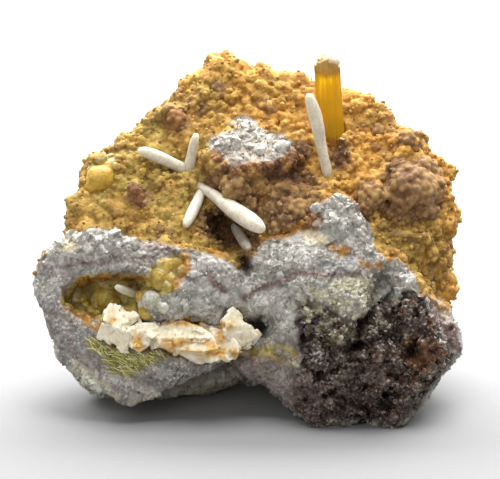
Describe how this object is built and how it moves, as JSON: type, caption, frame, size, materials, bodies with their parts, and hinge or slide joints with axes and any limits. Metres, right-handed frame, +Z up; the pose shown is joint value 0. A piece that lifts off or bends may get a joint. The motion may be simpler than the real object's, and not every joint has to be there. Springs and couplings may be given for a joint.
{
  "type": "mineral specimen",
  "caption": "Natural mineral specimen: an amber legrandite prism and white smithsonite spindles on ochre limonite rock with a grey quartz ledge and a bladed vug.",
  "frame": {"origin": "on the floor, under the middle of the bounding box", "axes": "+X to the viewer's right along the stone's longest side, +Y away from the viewer through its shortest side, +Z up"},
  "size_m": [0.0452, 0.0298, 0.0365],
  "materials": {
    "rock": "matte, rough, ochre limonite over grey sparkling quartz",
    "smithsonite": "satin, waxy",
    "legrandite": "clear amber, striated",
    "blades": "satin, stained orange"
  },
  "bodies": {
    "root": {"limonite_rock": "rock", "legrandite_prism": "legrandite", "smithsonite_cap": "smithsonite", "smithsonite_pair": "smithsonite", "smithsonite_fork": "smithsonite", "smithsonite_tall": "smithsonite", "smithsonite_pocket": "smithsonite", "smithsonite_vug": "smithsonite", "white_blades": "blades"}
  },
  "joints": []
}
